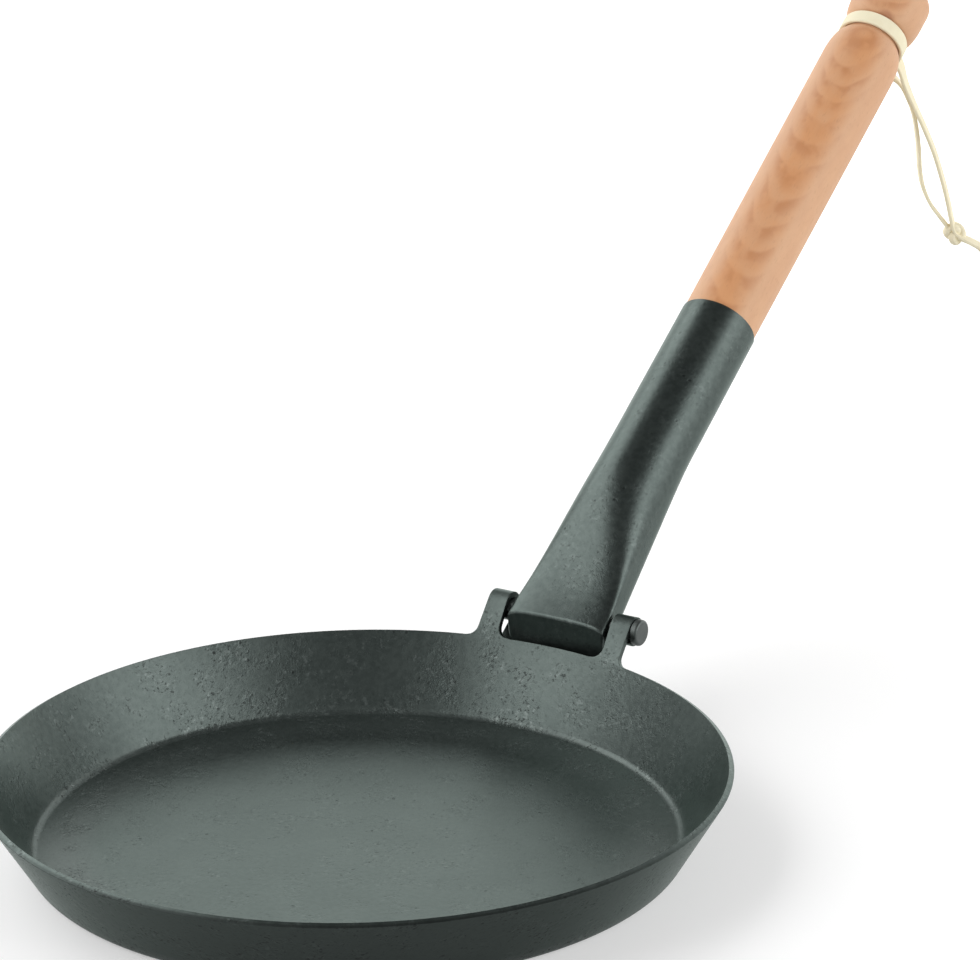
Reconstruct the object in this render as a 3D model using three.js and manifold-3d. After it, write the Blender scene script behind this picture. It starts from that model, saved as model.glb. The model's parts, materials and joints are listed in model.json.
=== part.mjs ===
// Folding frying pan: a pressed steel dish with two rolled ears, a steel socket that folds over the dish
// on a hinge pin, a turned wooden grip in the socket and a leather thong round the grip's neck.
// Millimetres, +Z up, origin at the middle of the base, handle towards +Y.

import * as THREE from 'three';
import { mergeVertices } from 'three/addons/utils/BufferGeometryUtils.js';
import Module from 'manifold-3d';

const wasm = await Module();
wasm.setup();

const { degToRad, lerp, smoothstep } = THREE.MathUtils;

// Driving dimensions

const CLEARANCE = 0.3; // play between neighbouring pieces

const RIM_RADIUS = 120; // outside of the rim
const PAN_HEIGHT = 26.8; // table to the top of the rim
const PAN_SHEET = 2; // steel of the dish and the ears
const WALL_FLARE = 31; // lean of the wall from upright, degrees
const FLOOR_FILLET = 3; // inside radius between floor and wall

const PIN_RADIUS = 2.7;
const PIN_OVERHANG = 7.8; // rim's outside to the pin's axis
const PIN_RISE = 7.6; // top of the rim to the pin's axis
const PIN_CHAMFER = 0.5;
const PIN_PROUD = 2.6; // pin's end past the ear's outer side

const NOTCH_HALF = 20.6; // middle of the pan to an ear's inner side
const EAR_WIDTH = 7.4;
const EAR_FILLET = 3; // ear's outer side into the rim
const NOTCH_FILLET = 4.5; // ear's inner side into the rim
const EAR_ROOT = 1.5; // depth of an ear's root in the wall
const ROOT_INSET = 0.3; // root's faces below the wall's faces
const ROLL_END = -145; // where an ear's roll stops, degrees from +Y

const HANDLE_TILT = 34.3; // rise of the open handle, degrees
const HANDLE_RISE = 2.5; // pin's axis up to the axis of socket and grip
const SOCKET_LENGTH = 129.5; // pin's axis to the socket's mouth
const SOCKET_SHEET = 1.7;
const MOUTH_RADIUS = 14; // outside of the socket at its mouth
const WAIST_RADIUS = 14.1; // outside of the socket where it becomes round
const ROUND_START = 80; // pin's axis to where the socket becomes round
const FLAT_LENGTH = 55; // pin's axis to where the flat end's top has risen to the round part
const HOLLOW_START = 5.5; // pin's bore to the start of the hollow
const TOP_SQUARENESS = 3; // exponent of the flat end's upper half, 2 where it is round
const BOTTOM_SQUARENESS = 5; // the same for the lower half

const NOSE_TOP = 5.5; // pin's axis up to the socket's flat end
const NOSE_PLAY = 1.7; // nose's side to the ear beside it
const NOSE_REACH = 4.6; // pin's axis to the upper edge of the nose's front
const NOSE_FOOT = 10.9; // pin's axis to the lower edge of the nose's front
const NOSE_ROUND = 1.6; // round of the front's edges
const STOP_THICKNESS = 2; // lip under the nose that stops on the pan's wall
const STOP_OVERHANG = 2.4; // lip's side past the notch, outside the pan's wall
const STOP_ROOT = 10; // lip's length behind the pin's axis

const SPIGOT_LENGTH = 43;
const SPIGOT_CHAMFER = 2;
const GRIP_RADIUS = 14; // grip's thickest place, near its neck
const GRIP_ROOT_RADIUS = 13.5; // grip beside the socket's mouth
const GRIP_LENGTH = 163; // socket's mouth to the grip's tip
const SHOULDER_LENGTH = 11; // grip's taper into its neck
const NECK_LENGTH = 7; // groove for the thong
const NECK_RADIUS = 11.1;
const KNOB_LENGTH = 20; // neck to tip
const KNOB_TAPER = 10; // knob's taper into the neck
const KNOB_ROUND = 4; // round of the tip's edge

const SCREW_INSET = 23; // socket's mouth to the screw that holds the grip
const SCREW_RADIUS = 1.75;
const SCREW_DEPTH = 11; // under its head
const SCREW_HEAD_RADIUS = 3.2;
const SCREW_HEAD_HEIGHT = 1.8;

const LACE_WIDTH = 6; // flat lace of the thong
const LACE_THICKNESS = 1.3;
const LACE_TUBE_RADIUS = 1.4; // round tube of the lace's section, where it hangs free
const BAND_ENDS = [-45, 225]; // where the lace leaves the neck, degrees from +X
const KNOT_RADII = [3.7, 3.9, 5];
const THONG_TURN = 53.1; // heading of the plane in which the thong hangs, degrees from +X

// Counts of facets

const PAN_SIDES = 96;
const PIN_SIDES = 32;
const GRIP_SIDES = 48;
const SOCKET_SIDES = 32;
const SOCKET_STEPS = 16;
const ARC_STEPS = 6;
const ROLL_STEPS = 14;
const EAR_STATIONS = 6;
const EAR_LEVELS = [0, 0.03, 0.1, 0.22, 0.45]; // shares of an ear's straight height
const LACE_SIDES = 8;
const STRAND_STEPS = 24;
const TAIL_STEPS = 8;
const KNOT_SIDES = 16;

// Places that follow from the dimensions

const flare = degToRad(WALL_FLARE);
const tilt = degToRad(HANDLE_TILT);
const rimOuter = PAN_HEIGHT - PAN_SHEET * Math.sin(flare); // rim's outer edge; the rim is square to the sheet
const pinReach = RIM_RADIUS + PIN_OVERHANG;
const pinLevel = PAN_HEIGHT + PIN_RISE;
const boreRadius = PIN_RADIUS + CLEARANCE;
const rollRadius = boreRadius + PAN_SHEET;
const earOuter = NOTCH_HALF + EAR_WIDTH;
const noseHalf = NOTCH_HALF - NOSE_PLAY;
const stopTop = -rollRadius - CLEARANCE;
const stopBottom = stopTop - STOP_THICKNESS;
const mouthBore = MOUTH_RADIUS - SOCKET_SHEET;
const gripStart = SOCKET_LENGTH + CLEARANCE;
const tip = SOCKET_LENGTH + GRIP_LENGTH;
const neckEnd = tip - KNOB_LENGTH;
const neckStart = neckEnd - NECK_LENGTH;
const neckMiddle = (neckStart + neckEnd) / 2;

// Materials

const steel = { color: 0x4a524f, roughness: 0.55, metalness: 0.8 };
const bareSteel = { color: 0x6b706e, roughness: 0.45, metalness: 0.9 };
const beech = { color: 0xdcab82, roughness: 0.6, metalness: 0 };
const leather = { color: 0xefe4c4, roughness: 0.8, metalness: 0 };

// Helpers

/** A named mesh with its own material. */
function mesh(name, geometry, finish) {
  const piece = new THREE.Mesh(geometry, new THREE.MeshStandardMaterial(finish));
  piece.name = name;
  return piece;
}

/** A solid for cutting and joining, from a closed geometry. */
function solid(geometry) {
  const bare = geometry.clone();
  bare.deleteAttribute('normal');
  bare.deleteAttribute('uv');
  const merged = mergeVertices(bare);
  const corners = merged.index.array;
  const triVerts = [];
  for (let i = 0; i < corners.length; i += 3) {
    const triangle = [corners[i], corners[i + 1], corners[i + 2]];
    if (new Set(triangle).size === 3) triVerts.push(...triangle);
  }
  return new wasm.Manifold(new wasm.Mesh({
    numProp: 3,
    vertProperties: Float32Array.from(merged.attributes.position.array),
    triVerts: Uint32Array.from(triVerts),
  }));
}

/** The geometry of a joined or cut solid. */
function surface(body) {
  const { vertProperties, triVerts } = body.getMesh();
  const geometry = new THREE.BufferGeometry();
  geometry.setAttribute('position', new THREE.BufferAttribute(vertProperties, 3));
  geometry.setIndex(new THREE.BufferAttribute(triVerts, 1));
  geometry.computeVertexNormals();
  return geometry;
}

/** A closed solid through rings of points; a strip between the ring's two halves closes each end. */
function loft(rings) {
  const count = rings[0].length;
  const last = (rings.length - 1) * count;
  const index = [];
  const quad = (a, b, c, d) => index.push(a, b, c, a, c, d);
  for (let start = 0; start < last; start += count) {
    for (let i = 0; i < count; i++) {
      const next = (i + 1) % count;
      quad(start + i, start + next, start + count + next, start + count + i);
    }
  }
  for (let i = 0; i + 1 < count / 2; i++) {
    const mirror = count - 1 - i;
    quad(i, mirror, mirror - 1, i + 1);
    quad(last + i, last + i + 1, last + mirror - 1, last + mirror);
  }
  const geometry = new THREE.BufferGeometry();
  geometry.setAttribute('position', new THREE.Float32BufferAttribute(rings.flat(2), 3));
  geometry.setIndex(index);
  geometry.computeVertexNormals();
  return geometry;
}

/** Points [x, y] of an arc about a centre, both its ends included; angles in radians. */
function arc(x, y, radius, from, to, steps = ARC_STEPS) {
  return Array.from({ length: steps + 1 }, (_, i) => {
    const angle = lerp(from, to, i / steps);
    return [x + radius * Math.cos(angle), y + radius * Math.sin(angle)];
  });
}

/** Points [x, y] of a quarter of an ellipse about a centre, from an angle in radians. */
function quarter(x, y, halfWidth, halfHeight, from) {
  const curve = new THREE.EllipseCurve(x, y, halfWidth, halfHeight, from, from + Math.PI / 2);
  return curve.getPoints(ARC_STEPS).map((point) => point.toArray());
}

/** A turned piece about +Y from its [radius, along] profile. */
function turned(profile, sides) {
  return new THREE.LatheGeometry(profile.map(([radius, along]) => new THREE.Vector2(radius, along)), sides);
}

/** A round bar along X through the origin. */
function barAlongX(radius, length, sides) {
  return new THREE.CylinderGeometry(radius, radius, length, sides).rotateZ(Math.PI / 2);
}

// Dish with its ears

/** Radius of the wall's outer face, or of its inner face, at a height. */
function wallRadius(height, inside = false) {
  const outer = RIM_RADIUS - (rimOuter - height) * Math.tan(flare);
  return inside ? outer - PAN_SHEET / Math.cos(flare) : outer;
}

/** The dish alone: flat floor, rounded corner and flared wall of one thickness. */
function dish() {
  const outerFillet = FLOOR_FILLET + PAN_SHEET;
  const corner = wallRadius(0) - outerFillet * Math.tan((Math.PI / 2 - flare) / 2);
  const profile = [
    [0, 0],
    ...arc(corner, outerFillet, outerFillet, -Math.PI / 2, -flare),
    [RIM_RADIUS, rimOuter],
    [wallRadius(PAN_HEIGHT, true), PAN_HEIGHT],
    ...arc(corner, outerFillet, FLOOR_FILLET, -flare, -Math.PI / 2),
    [0, PAN_SHEET],
  ];
  return solid(turned(profile, PAN_SIDES).rotateX(Math.PI / 2));
}

/** How far a fillet reaches past its side, at a height above the rim. */
function filletReach(radius, height) {
  const left = THREE.MathUtils.clamp(radius - height, 0, radius);
  return radius - Math.sqrt(radius ** 2 - left ** 2);
}

/** Distance from the middle of the pan, at a share of an ear's width and a height above the rim. */
function earAcross(share, height) {
  const inner = NOTCH_HALF - filletReach(NOTCH_FILLET, height);
  const outer = earOuter + filletReach(EAR_FILLET, height);
  return lerp(inner, outer, share);
}

/** One face of an ear's sheet at a share of its width: out of the wall, up and round the pin. */
function earFace(side, share, inside) {
  const radius = inside ? rollRadius : boreRadius;
  const inset = inside ? ROOT_INSET : -ROOT_INSET;
  const rootAcross = earAcross(share, 0);
  const rootRadius = wallRadius(PAN_HEIGHT - EAR_ROOT, inside) + inset;
  const points = [[side * rootAcross, Math.sqrt(rootRadius ** 2 - rootAcross ** 2), PAN_HEIGHT - EAR_ROOT]];
  let touch;
  for (const part of EAR_LEVELS) {
    const across = earAcross(share, part * (pinLevel + radius - PAN_HEIGHT));
    const footRadius = wallRadius(PAN_HEIGHT, inside);
    const foot = new THREE.Vector2(Math.sqrt(footRadius ** 2 - across ** 2), PAN_HEIGHT);
    const toPin = new THREE.Vector2(pinReach, pinLevel).sub(foot);
    touch = toPin.angle() + Math.asin(radius / toPin.length()) + Math.PI / 2;
    const y = lerp(foot.x, pinReach + radius * Math.cos(touch), part);
    const z = lerp(foot.y, pinLevel + radius * Math.sin(touch), part);
    points.push([side * across, y, z]);
  }
  const across = side * earAcross(share, pinLevel);
  const roll = arc(pinReach, pinLevel, radius, touch, degToRad(ROLL_END), ROLL_STEPS);
  points.push(...roll.map(([y, z]) => [across, y, z]));
  return points;
}

/** One ear, on the -X or +X side, as a bent sheet. */
function ear(side) {
  const rings = [];
  for (let station = 0; station <= EAR_STATIONS; station++) {
    const share = side < 0 ? station / EAR_STATIONS : 1 - station / EAR_STATIONS;
    rings.push([...earFace(side, share, true), ...earFace(side, share, false).reverse()]);
  }
  return solid(loft(rings));
}

const panBody = mesh('pan_body', surface(dish().add(ear(-1)).add(ear(1))), steel);

// Hinge pin

const pinHalf = earOuter + PIN_PROUD;
const pinProfile = [
  [0, -pinHalf],
  [PIN_RADIUS - PIN_CHAMFER, -pinHalf],
  [PIN_RADIUS, PIN_CHAMFER - pinHalf],
  [PIN_RADIUS, pinHalf - PIN_CHAMFER],
  [PIN_RADIUS - PIN_CHAMFER, pinHalf],
  [0, pinHalf],
];
const hingePin = mesh('hinge_pin', turned(pinProfile, PIN_SIDES).rotateZ(Math.PI / 2), bareSteel);
hingePin.position.set(0, pinReach, pinLevel);

// Socket, in the handle's own frame: +Y along the handle from the pin's axis, +Z square to it

/** Outside radius of the socket's round part. */
function socketRadius(along) {
  return lerp(WAIST_RADIUS, MOUTH_RADIUS, smoothstep(along, ROUND_START, SOCKET_LENGTH));
}

/** One section of the socket, drawn in by an amount on all sides. */
function socketSection(along, inset) {
  const risen = smoothstep(along, 0, FLAT_LENGTH);
  const round = smoothstep(along, 0, ROUND_START);
  const straight = Math.min(along / ROUND_START, 1);
  const radius = socketRadius(along);
  const half = lerp(radius, noseHalf, (1 - straight) ** 2) - inset;
  const top = lerp(NOSE_TOP, HANDLE_RISE + radius, risen) - inset;
  const bottom = lerp(stopBottom, HANDLE_RISE - radius, straight) + inset;
  return Array.from({ length: SOCKET_SIDES }, (_, i) => {
    const angle = (-2 * Math.PI * (i + 0.5)) / SOCKET_SIDES;
    const upper = Math.sin(angle) > 0;
    const power = 2 / (upper ? lerp(TOP_SQUARENESS, 2, risen) : lerp(BOTTOM_SQUARENESS, 2, round));
    const reach = (value) => Math.abs(value) ** power;
    const end = upper ? top : bottom;
    const across = Math.sign(Math.cos(angle)) * half * reach(Math.cos(angle));
    return [across, along, lerp(HANDLE_RISE, end, reach(Math.sin(angle)))];
  });
}

/** Sections of the socket's outside, or of its hollow, between two places along it. */
function socketSections(from, to, inset) {
  return Array.from({ length: SOCKET_STEPS + 1 }, (_, i) => (
    socketSection(lerp(from, to, i / SOCKET_STEPS), inset)));
}

/** Where the nose's leaning front stands, at a height off the pin's axis. */
function noseAlong(height) {
  return THREE.MathUtils.mapLinear(height, stopTop, NOSE_TOP, -NOSE_FOOT, -NOSE_REACH);
}

/** Sections of the nose, from its leaning front back over the front's rounded edges. */
function noseSections() {
  return Array.from({ length: ARC_STEPS + 1 }, (_, i) => {
    const turn = (Math.PI / 2) * (1 - i / ARC_STEPS);
    const back = NOSE_ROUND * (1 - Math.sin(turn));
    const section = socketSection(0, NOSE_ROUND * (1 - Math.cos(turn)));
    return section.map(([across, , height]) => [across, noseAlong(height) + back, height]);
  });
}

/** Where a line along the handle, at a height off the pin's axis, comes to the pan's wall. */
function wallAlong(height) {
  const level = pinLevel + height / Math.cos(tilt);
  const slope = Math.tan(tilt);
  const gap = CLEARANCE / Math.cos(flare);
  const reach = (wallRadius(level) + gap - pinReach) / (1 - slope * Math.tan(flare));
  return reach / Math.cos(tilt) + height * slope;
}

/** The lip that stops the open handle on the pan's wall, cut to lie along the wall. */
function stopLip() {
  const wide = NOTCH_HALF + STOP_OVERHANG;
  const ring = (half, topAlong, bottomAlong) => [
    [-half, bottomAlong, stopBottom],
    [-half, topAlong, stopTop],
    [half, topAlong, stopTop],
    [half, bottomAlong, stopBottom],
  ];
  return solid(loft([
    ring(wide, wallAlong(stopTop), wallAlong(stopBottom)),
    ring(wide, 0, 0),
    ring(wide - STOP_ROOT, STOP_ROOT, STOP_ROOT),
  ]));
}

const screwAlong = SOCKET_LENGTH - SCREW_INSET;
const screwSeat = HANDLE_RISE - socketRadius(screwAlong) - CLEARANCE;
const screwHole = new THREE.CylinderGeometry(
  SCREW_RADIUS + CLEARANCE,
  SCREW_RADIUS + CLEARANCE,
  2 * (SCREW_DEPTH + CLEARANCE),
  PIN_SIDES / 2,
).rotateX(Math.PI / 2).translate(0, screwAlong, screwSeat);

const hollow = socketSections(boreRadius + HOLLOW_START, SOCKET_LENGTH + CLEARANCE, SOCKET_SHEET);
const socketBody = solid(loft([...noseSections(), ...socketSections(0, SOCKET_LENGTH, 0)]))
  .add(stopLip())
  .subtract(solid(loft(hollow)))
  .subtract(solid(barAlongX(boreRadius, 3 * noseHalf, PIN_SIDES)))
  .subtract(solid(screwHole));
const handleSocket = mesh('handle_socket', surface(socketBody), steel);

// Wooden grip with its spigot in the socket

const spigotRadius = mouthBore - CLEARANCE;
const spigotEnd = SOCKET_LENGTH - SPIGOT_LENGTH;
const shoulderStart = neckStart - SHOULDER_LENGTH;
const knobStart = neckEnd + KNOB_TAPER;
const neckDepth = GRIP_RADIUS - NECK_RADIUS;
const gripProfile = [
  [0, spigotEnd],
  [spigotRadius - SPIGOT_CHAMFER, spigotEnd],
  [spigotRadius, spigotEnd + SPIGOT_CHAMFER],
  [spigotRadius, gripStart],
  [GRIP_ROOT_RADIUS, gripStart],
  ...quarter(NECK_RADIUS, shoulderStart, neckDepth, SHOULDER_LENGTH, 0),
  ...quarter(NECK_RADIUS, knobStart, neckDepth, KNOB_TAPER, -Math.PI / 2),
  ...arc(GRIP_RADIUS - KNOB_ROUND, tip - KNOB_ROUND, KNOB_ROUND, 0, Math.PI / 2),
  [0, tip],
];
const gripBlank = turned(gripProfile, GRIP_SIDES).translate(0, 0, HANDLE_RISE);
const gripBody = solid(gripBlank).subtract(solid(screwHole));
const woodenGrip = mesh('wooden_grip', surface(gripBody), beech);

// Screw through the socket's underside into the spigot

const screwProfile = [
  ...quarter(0, 0, SCREW_HEAD_RADIUS, SCREW_HEAD_HEIGHT, -Math.PI / 2),
  [SCREW_RADIUS, 0],
  [SCREW_RADIUS, SCREW_DEPTH - SCREW_RADIUS],
  [0, SCREW_DEPTH],
];
const gripScrew = mesh('grip_screw', turned(screwProfile, PIN_SIDES / 2).rotateX(Math.PI / 2), bareSteel);
gripScrew.position.set(0, screwAlong, screwSeat);

// Thong: a flat lace over the neck, two strands to a knot and two tails

const bandRadius = NECK_RADIUS + CLEARANCE;
const bandAngles = BAND_ENDS.map(degToRad);
const bandOutline = new THREE.Shape([
  ...arc(0, 0, bandRadius + LACE_THICKNESS, ...bandAngles, GRIP_SIDES),
  ...arc(0, 0, bandRadius, ...bandAngles.toReversed(), GRIP_SIDES),
].map(([x, y]) => new THREE.Vector2(x, y)));
const bandGeometry = new THREE.ExtrudeGeometry(bandOutline, { depth: LACE_WIDTH, bevelEnabled: false });
const thongBand = mesh('thong_band', bandGeometry.rotateX(Math.PI / 2), leather);
thongBand.position.set(0, neckMiddle + LACE_WIDTH / 2, HANDLE_RISE);

const handle = new THREE.Group();
handle.position.set(0, pinReach, pinLevel);
handle.rotation.x = tilt;
handle.add(handleSocket, woodenGrip, gripScrew, thongBand);
handle.updateMatrixWorld();

// The hanging part has its own upright frame at the middle of the neck: +X outwards in the plane in which
// the thong hangs, +Z up

const thong = new THREE.Group();
thong.position.copy(handle.localToWorld(new THREE.Vector3(0, neckMiddle, HANDLE_RISE)));
thong.rotation.z = degToRad(THONG_TURN);
thong.updateMatrixWorld();

/** The lace's middle at a distance past one end of the band, in the thong's frame. */
function pastBand(angle, turn, distance) {
  const middle = bandRadius + LACE_TUBE_RADIUS;
  const x = middle * Math.cos(angle) - turn * distance * Math.sin(angle);
  const z = middle * Math.sin(angle) + turn * distance * Math.cos(angle);
  return thong.worldToLocal(handle.localToWorld(new THREE.Vector3(x, neckMiddle, HANDLE_RISE + z)));
}

/** A free stretch of lace along a smooth curve through points. */
function lace(name, points, steps) {
  const section = new THREE.Shape(new THREE.EllipseCurve(0, 0, LACE_TUBE_RADIUS, LACE_TUBE_RADIUS)
    .getPoints(LACE_SIDES).slice(1));
  const extrudePath = new THREE.CatmullRomCurve3(points);
  return mesh(name, new THREE.ExtrudeGeometry(section, { steps, extrudePath, bevelEnabled: false }), leather);
}

const at = (...point) => new THREE.Vector3(...point);
const knotMiddle = at(36.8, 3, -79.1);

const strandRight = lace('thong_strand_right', [
  pastBand(bandAngles[0], -1, CLEARANCE),
  pastBand(bandAngles[0], -1, CLEARANCE + LACE_TUBE_RADIUS),
  at(10.4, -3, -11.4),
  at(13.2, -1.4, -18.2),
  at(18.1, 0, -28),
  at(21.7, 0.6, -35),
  at(26.5, 1, -45.6),
  at(30.6, 1.2, -57.6),
  at(33.3, 1.5, -67),
  at(34.9, 1.9, -73.2),
], STRAND_STEPS);

const strandLeft = lace('thong_strand_left', [
  pastBand(bandAngles[1], 1, CLEARANCE),
  pastBand(bandAngles[1], 1, CLEARANCE + LACE_TUBE_RADIUS),
  at(3.6, 9.2, -11.5),
  at(8.6, 7.9, -15),
  at(13.8, 6.3, -18.8),
  at(17.4, 5.6, -25.4),
  at(20.2, 5.3, -32.8),
  at(21.9, 5.1, -43.4),
  at(22.6, 5, -52.3),
  at(23.9, 4.9, -59.3),
  at(26.8, 4.7, -66.2),
  at(30.4, 4.4, -71.4),
  at(33.4, 4.1, -75.3),
], STRAND_STEPS);

const knotGeometry = new THREE.SphereGeometry(1, KNOT_SIDES, KNOT_SIDES).scale(...KNOT_RADII);
const thongKnot = mesh('thong_knot', knotGeometry, leather);
thongKnot.position.copy(knotMiddle);

const tailRight = lace('thong_tail_right', [
  at(40.4, 1.3, -81.2),
  at(43.5, 1.2, -82.9),
  at(46.9, 1.1, -85.2),
  at(50, 1, -88.6),
  at(52.4, 0.9, -93),
  at(54, 0.8, -98),
  at(54.9, 0.7, -103),
  at(55.2, 0.6, -106.5),
], TAIL_STEPS);

const tailLeft = lace('thong_tail_left', [
  at(41, 4.7, -82),
  at(44.8, 4.8, -84),
  at(48.4, 4.9, -86.4),
  at(51.4, 5, -90),
  at(53.6, 5.1, -94.6),
  at(54.9, 5.2, -99.6),
  at(55.5, 5.3, -104.6),
  at(55.7, 5.4, -108.6),
], TAIL_STEPS);

thong.add(strandRight, strandLeft, thongKnot, tailRight, tailLeft);

const foldingPan = new THREE.Group();
foldingPan.add(panBody, hingePin, handle, thong);

export default foldingPan;
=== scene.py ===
"""Folding frying pan: the finished surfaces of every piece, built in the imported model's own frame."""

import json
import math

import bmesh
import bpy
from mathutils import Matrix, Vector


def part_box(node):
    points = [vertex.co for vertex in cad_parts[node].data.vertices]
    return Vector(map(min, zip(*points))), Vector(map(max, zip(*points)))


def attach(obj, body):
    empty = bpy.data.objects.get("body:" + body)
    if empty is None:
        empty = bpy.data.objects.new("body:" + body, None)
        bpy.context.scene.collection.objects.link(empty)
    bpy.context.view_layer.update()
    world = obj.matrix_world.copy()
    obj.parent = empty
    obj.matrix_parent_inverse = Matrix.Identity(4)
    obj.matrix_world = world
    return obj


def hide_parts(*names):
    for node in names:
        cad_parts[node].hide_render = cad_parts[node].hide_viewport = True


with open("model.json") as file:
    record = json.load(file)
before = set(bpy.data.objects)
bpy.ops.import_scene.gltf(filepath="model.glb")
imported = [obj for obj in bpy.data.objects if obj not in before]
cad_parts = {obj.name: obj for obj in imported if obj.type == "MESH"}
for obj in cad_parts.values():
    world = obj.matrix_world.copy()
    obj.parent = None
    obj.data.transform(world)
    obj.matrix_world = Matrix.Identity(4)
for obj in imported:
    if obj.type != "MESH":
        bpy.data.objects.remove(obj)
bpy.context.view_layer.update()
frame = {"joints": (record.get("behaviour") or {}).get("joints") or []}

# Sizes in millimetres, as in the model

MM = 0.001
CLEARANCE = 0.3  # play between neighbouring pieces

RIM_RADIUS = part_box("pan_body")[1].x / MM
PAN_HEIGHT = 26.8  # table to the top of the rim
PAN_SHEET = 2  # steel of the dish and the ears
WALL_FLARE = math.radians(31)  # lean of the wall from upright
FLOOR_FILLET = 3  # inside radius between floor and wall

PIN = Vector(frame["joints"][0]["pos_m"]) / MM
PIN_RADIUS = 2.7
PIN_PROUD = 2.7  # head's end past the ear's outer side
PIN_HEAD_RADIUS = 4.5
PIN_HEAD_ROUND = 1
PEEN_RADIUS = 3.3  # pin's left end, hammered over
PEEN_HEIGHT = 0.9

NOTCH_HALF = 20.6  # middle of the pan to an ear's inner side
NOTCH_FILLET = 4.5  # ear's inner side into the rim
EAR_WIDTH = 7.4
EAR_FILLET = 3  # ear's outer side into the rim
ROLL_END = math.radians(-145)  # where an ear's roll stops, from +Y

HANDLE_TILT = math.radians(34.3)  # rise of the open handle
HANDLE_RISE = 2.5  # pin's axis up to the axis of socket and grip
SOCKET_LENGTH = 129.5  # pin's axis to the socket's mouth
SOCKET_SHEET = 1.7
MOUTH_RADIUS = 14  # outside of the socket at its mouth
WAIST_RADIUS = 14.1  # outside of the socket where it becomes round
ROUND_START = 80  # pin's axis to where the socket becomes round
FLAT_LENGTH = 55  # pin's axis to where the flat end's top has risen to the round part
HOLLOW_START = 5.5  # pin's bore to the start of the hollow
TOP_SQUARENESS = 3  # exponent of the flat end's upper half, 2 where it is round
BOTTOM_SQUARENESS = 5  # the same for the lower half

NOSE_TOP = 5.5  # pin's axis up to the socket's flat end
NOSE_PLAY = 1.7  # nose's side to the ear beside it
NOSE_REACH = 4.6  # pin's axis to the upper edge of the nose's front
NOSE_FOOT = 10.9  # pin's axis to the lower edge of the nose's front
NOSE_ROUND = 0.9  # round of the front's edges
STOP_THICKNESS = 2  # lip under the nose that stops on the pan's wall
STOP_OVERHANG = 2.4  # lip's side past the notch, outside the pan's wall
STOP_ROOT = 10  # lip's length behind the pin's axis

SPIGOT_LENGTH = 43
SPIGOT_CHAMFER = 2
GRIP_RADIUS = 14  # grip's thickest place, near its neck
GRIP_ROOT_RADIUS = 13.5  # grip beside the socket's mouth
GRIP_LENGTH = 163  # socket's mouth to the grip's tip
SHOULDER_LENGTH = 11  # grip's taper into its neck
NECK_LENGTH = 7  # groove for the thong
NECK_RADIUS = 11.1
KNOB_LENGTH = 20  # neck to tip
KNOB_TAPER = 10  # knob's taper into the neck
KNOB_ROUND = 4  # round of the tip's edge

SCREW_INSET = 23  # socket's mouth to the screw that holds the grip
SCREW_RADIUS = 1.75
SCREW_DEPTH = 11  # under its head
SCREW_HEAD_RADIUS = 3.2
SCREW_HEAD_HEIGHT = 1.8
SLOT_WIDTH = 0.8
SLOT_DEPTH = 1.0

LACE_WIDTH = 5.4  # flat lace of the thong
LACE_THICKNESS = 1.3
LACE_EDGE = 0.5  # round of the lace's edges
LACE_CROWN = 0.702  # lace's middle to the crown of either face
BAND_ENDS = [math.radians(-45), math.radians(225)]  # where the lace leaves the neck, from +X
THONG_TURN = math.radians(53.1)  # heading of the plane in which the thong hangs, from +X

# Places that follow from the sizes

RIM_OUTER = PAN_HEIGHT - PAN_SHEET * math.sin(WALL_FLARE)  # rim's outer edge
BORE_RADIUS = PIN_RADIUS + CLEARANCE
ROLL_RADIUS = BORE_RADIUS + PAN_SHEET
EAR_OUTER = NOTCH_HALF + EAR_WIDTH
NOSE_HALF = NOTCH_HALF - NOSE_PLAY
STOP_TOP = -ROLL_RADIUS - CLEARANCE
STOP_BOTTOM = STOP_TOP - STOP_THICKNESS
TIP = SOCKET_LENGTH + GRIP_LENGTH
NECK_END = TIP - KNOB_LENGTH
NECK_START = NECK_END - NECK_LENGTH
NECK_MIDDLE = (NECK_START + NECK_END) / 2
SCREW_ALONG = SOCKET_LENGTH - SCREW_INSET
HANDLE_PLACE = Matrix.Translation(PIN) @ Matrix.Rotation(HANDLE_TILT, 4, "X")
HANDLE_AXIS = HANDLE_PLACE.to_3x3() @ Vector((0, 1, 0))
NECK_PLACE = HANDLE_PLACE @ Vector((0, NECK_MIDDLE, HANDLE_RISE))
THONG_PLACE = Matrix.Translation(NECK_PLACE) @ Matrix.Rotation(THONG_TURN, 4, "Z")

# Camera

CAMERA_PLACE = Vector((742.6, -1090.3, 585.1))
CAMERA_HEADING = math.radians(32.358)
CAMERA_DIP = math.radians(19.355)
CAMERA_ROLL = math.radians(-0.792)
IMAGE_WIDTH = 980
FOCAL_PIXELS = 4500


def photo_camera():
    """The camera at the photograph's place, heading, dip and roll."""
    right = Vector((math.cos(CAMERA_HEADING), math.sin(CAMERA_HEADING), 0))
    level = Vector((math.sin(CAMERA_HEADING), -math.cos(CAMERA_HEADING), 0))
    back = level * math.cos(CAMERA_DIP) + Vector((0, 0, math.sin(CAMERA_DIP)))
    turn = Matrix.Rotation(CAMERA_ROLL, 3, back)
    axes = Matrix((turn @ right, turn @ back.cross(right), back)).transposed()
    data = bpy.data.cameras.new("photo_camera")
    data.lens = FOCAL_PIXELS * data.sensor_width / IMAGE_WIDTH
    camera = bpy.data.objects.new("photo_camera", data)
    camera.matrix_world = Matrix.Translation(CAMERA_PLACE * MM) @ axes.to_4x4()
    bpy.context.scene.collection.objects.link(camera)
    bpy.context.scene.camera = camera


# Shader expressions


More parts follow.
